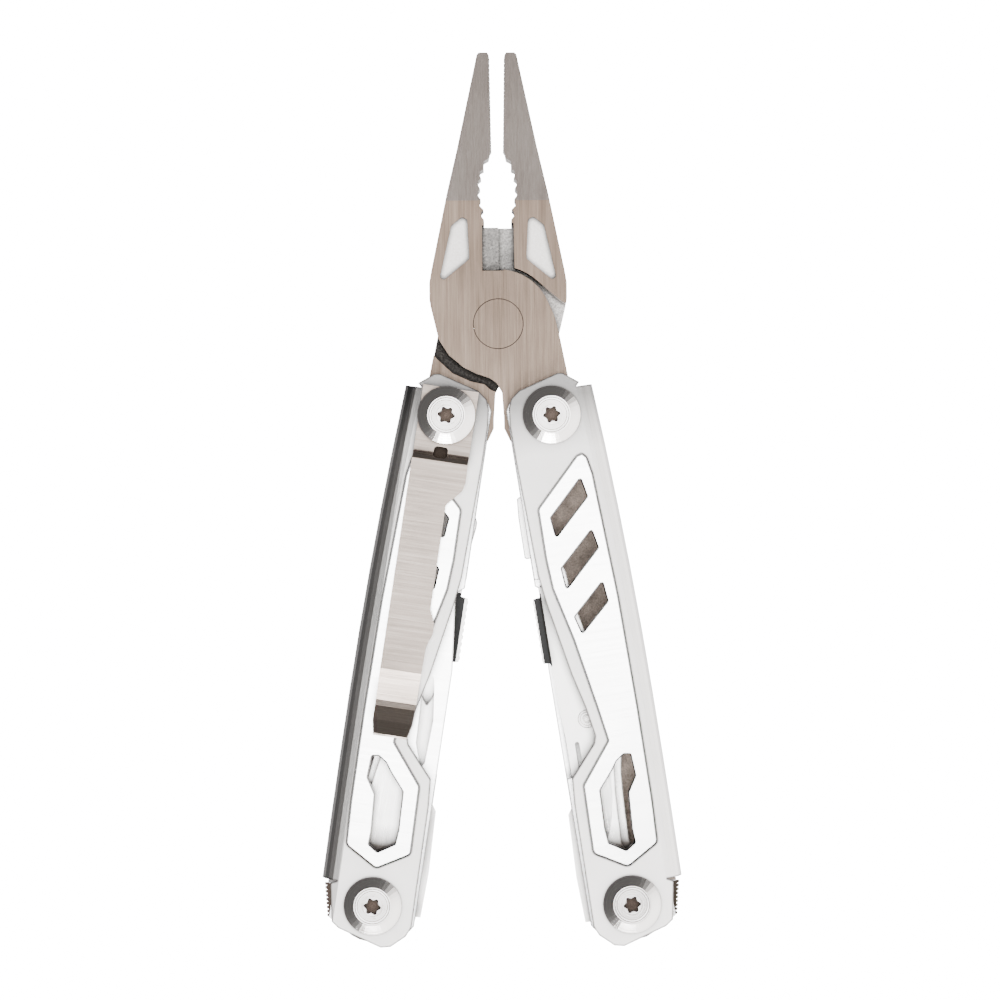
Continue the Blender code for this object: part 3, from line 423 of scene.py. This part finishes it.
def turned_steel(node, centre, face):
    """Button or pin: fine lathe rings round centre, deeper on its face, painted shade in its
    driver recess.

    face is how far the outer face stands from the middle plane.
    """
    tree = Tree(f"{node}_steel")
    radius = tree.radius((centre[0], centre[1], 0.0))
    inputs = {"W": radius, "Scale": 1.0 / RING_PITCH, "Detail": 3.0}
    rings = tree.node("ShaderNodeTexNoise", inputs, noise_dimensions="1D").outputs["Fac"]
    color = tree.shades(rings, BUTTON_STEEL)
    rise = tree.rise()
    contrast = tree.spread(rings, 0.3, 0.7, 0.5 * FACED_SHADE, 1.5 * FACED_SHADE)
    faced = tree.above(rise, face - FACE_SKIN)
    color = tree.mix(faced, color, tree.scale(color, contrast))
    # Painted shade in the driver recess
    sunk = tree.both(tree.below(radius, DRIVER_RADIUS), tree.below(rise, face - DRIVER_DEPTH))
    color = tree.mix(sunk, color, PAINTED_RECESS_SHADE)
    return tree.metal(color, tree.gloss(rings, 0.2, 0.05), rings, GRAIN_CUT)


# Pieces

FINE_EDGE = 0.0001
THIN_EDGE = 0.00012
WIDE_EDGE = 0.0002
SHARP_ANGLE = 28.0
FLAT_ANGLE = 1.0


def finish(node, material, edge=None):
    """Give a node its material and, if edge is given, round its sharp edges by that much."""
    piece = frame["nodes"][node]
    for slot in piece.material_slots:
        slot.material = material
    if edge is None:
        return
    planar = piece.modifiers.new("planar", "DECIMATE")
    planar.decimate_type = "DISSOLVE"
    planar.angle_limit = radians(FLAT_ANGLE)
    bevel = piece.modifiers.new("edges", "BEVEL")
    bevel.width = edge
    bevel.segments = 2
    bevel.limit_method = "ANGLE"
    bevel.angle_limit = radians(SHARP_ANGLE)
    bevel.harden_normals = True


def finish_handle(side):
    turn = SIGNS[side] * HANDLE_TILT
    plate, tool = plate_steel(side, turn), tool_steel(side, turn)
    slider, washer = slider_steel(side), bronze(side)
    for node in frame["nodes"]:
        if not node.startswith(side):
            continue
        if "shell" in node:
            finish(node, shell_steel(node, side), WIDE_EDGE)
        elif "liner" in node:
            finish(node, plate, THIN_EDGE)
        elif "screw" in node or "barrel" in node or "stud" in node:
            low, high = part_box(node)
            face = max(high[2] - MID_PLANE, MID_PLANE - low[2])
            finish(node, turned_steel(node, (low + high) / 2, face), FINE_EDGE)
        elif "washer" in node or "_ring_" in node:
            finish(node, washer)
        elif "lock_slider" in node:
            finish(node, slider, FINE_EDGE)
        else:
            finish(node, tool, WIDE_EDGE)


forging = forged_steel()
for name in ("front_jaw", "rear_jaw", "jaw_rivet"):
    finish(name, forging, WIDE_EDGE)
finish("pocket_clip", clip_steel(), THIN_EDGE)
for side in SIGNS:
    finish_handle(side)


# Floor, light and camera

FLOOR_SIZE = 6.0
FLOOR_GLOW = 16.0

OVERHEAD = {"direction": (0.02, -0.02, 1.0), "distance": 1.4, "size": (0.62, 0.36)}
OVERHEAD_RADIANCE = 13.5
KEY = {"direction": (-0.12, -1.0, 0.95), "distance": 1.2, "size": (0.5, 0.4)}
KEY_RADIANCE = 30.0

BRIGHT_SIDE = Vector((0.78, -0.6, 0.18)).normalized()
WORLD_STRENGTH = 5.0
WORLD_STOPS = ((0.0, 0.028), (0.16, 0.055), (0.3, 0.15), (0.5, 0.75), (0.85, 1.0))
TABLE_GLOW = 0.34
TABLE_START, TABLE_FULL = -0.25, -0.75

FRAME_WIDTH = 0.184
LENS, SENSOR = 120.0, 36.0
VIEW_CENTRE = Vector((0.00009, -0.00017, 0.0145))
VIEW_TURN = radians(-0.39)


def make_floor():
    """White paper that glows, but isn't mirrored in the steel."""
    bpy.ops.mesh.primitive_plane_add(size=FLOOR_SIZE, location=(0.0, 0.0, FLOOR_Z))
    floor = bpy.context.object
    floor.name = "floor"
    tree = Tree("floor_paper")
    tree.feed("Base Color", tree.mix(tree.noise(tree.place(), 900.0, 2.0), *PAPER))
    tree.feed("Roughness", 0.85)
    tree.feed("Emission Color", (1.0, 1.0, 1.0, 1.0))
    tree.feed("Emission Strength", FLOOR_GLOW)
    floor.data.materials.append(tree.material)
    floor.visible_glossy = False


def make_light(name, direction, distance, size, radiance):
    """Soft box that faces the tool. Its power follows from the wanted brightness of its face."""
    data = bpy.data.lights.new(name, "AREA")
    data.shape = "RECTANGLE"
    data.size, data.size_y = size
    data.energy = radiance * pi * size[0] * size[1]
    light = bpy.data.objects.new(name, data)
    bpy.context.scene.collection.objects.link(light)
    aim = Vector(direction).normalized()
    light.location = aim * distance
    light.rotation_euler = aim.to_track_quat("Z", "Y").to_euler()


def make_world():
    """Studio, dark up and to the left, bright down and to the right, with a dim table below."""
    world = bpy.data.worlds.new("studio")
    world.use_nodes = True
    nodes, links = world.node_tree.nodes, world.node_tree.links
    direction = nodes.new("ShaderNodeTexCoord").outputs["Generated"]
    facing = nodes.new("ShaderNodeVectorMath")
    facing.operation = "DOT_PRODUCT"
    links.new(direction, facing.inputs[0])
    facing.inputs[1].default_value = BRIGHT_SIDE
    ramp = nodes.new("ShaderNodeValToRGB")
    links.new(facing.outputs["Value"], ramp.inputs[0])
    elements = ramp.color_ramp.elements
    elements[0].position, elements[1].position = WORLD_STOPS[0][0], WORLD_STOPS[-1][0]
    for place, _ in WORLD_STOPS[1:-1]:
        elements.new(place)
    for element, (_, value) in zip(elements, WORLD_STOPS):
        element.color = (value, value * 0.98, value * 0.96, 1.0)
    split = nodes.new("ShaderNodeSeparateXYZ")
    links.new(direction, split.inputs[0])
    under = nodes.new("ShaderNodeMapRange")
    links.new(split.outputs["Z"], under.inputs["Value"])
    under.inputs["From Min"].default_value = TABLE_START
    under.inputs["From Max"].default_value = TABLE_FULL
    table = nodes.new("ShaderNodeMix")
    table.data_type = "RGBA"
    links.new(under.outputs["Result"], table.inputs[0])
    links.new(ramp.outputs[0], table.inputs[6])
    table.inputs[7].default_value = (TABLE_GLOW, TABLE_GLOW, TABLE_GLOW, 1.0)
    links.new(table.outputs[2], nodes["Background"].inputs["Color"])
    nodes["Background"].inputs["Strength"].default_value = WORLD_STRENGTH
    bpy.context.scene.world = world


def make_camera():
    """Camera straight above, as high as the frame's width needs, turned a little."""
    data = bpy.data.cameras.new("camera")
    data.lens = LENS
    data.sensor_width = SENSOR
    data.clip_start, data.clip_end = 0.05, 20.0
    camera = bpy.data.objects.new("camera", data)
    bpy.context.scene.collection.objects.link(camera)
    camera.location = VIEW_CENTRE + Vector((0.0, 0.0, FRAME_WIDTH * LENS / SENSOR))
    camera.rotation_euler = Euler((0.0, 0.0, VIEW_TURN))
    bpy.context.scene.camera = camera


make_floor()
make_world()
make_light("overhead", **OVERHEAD, radiance=OVERHEAD_RADIANCE)
make_light("key", **KEY, radiance=KEY_RADIANCE)
make_camera()
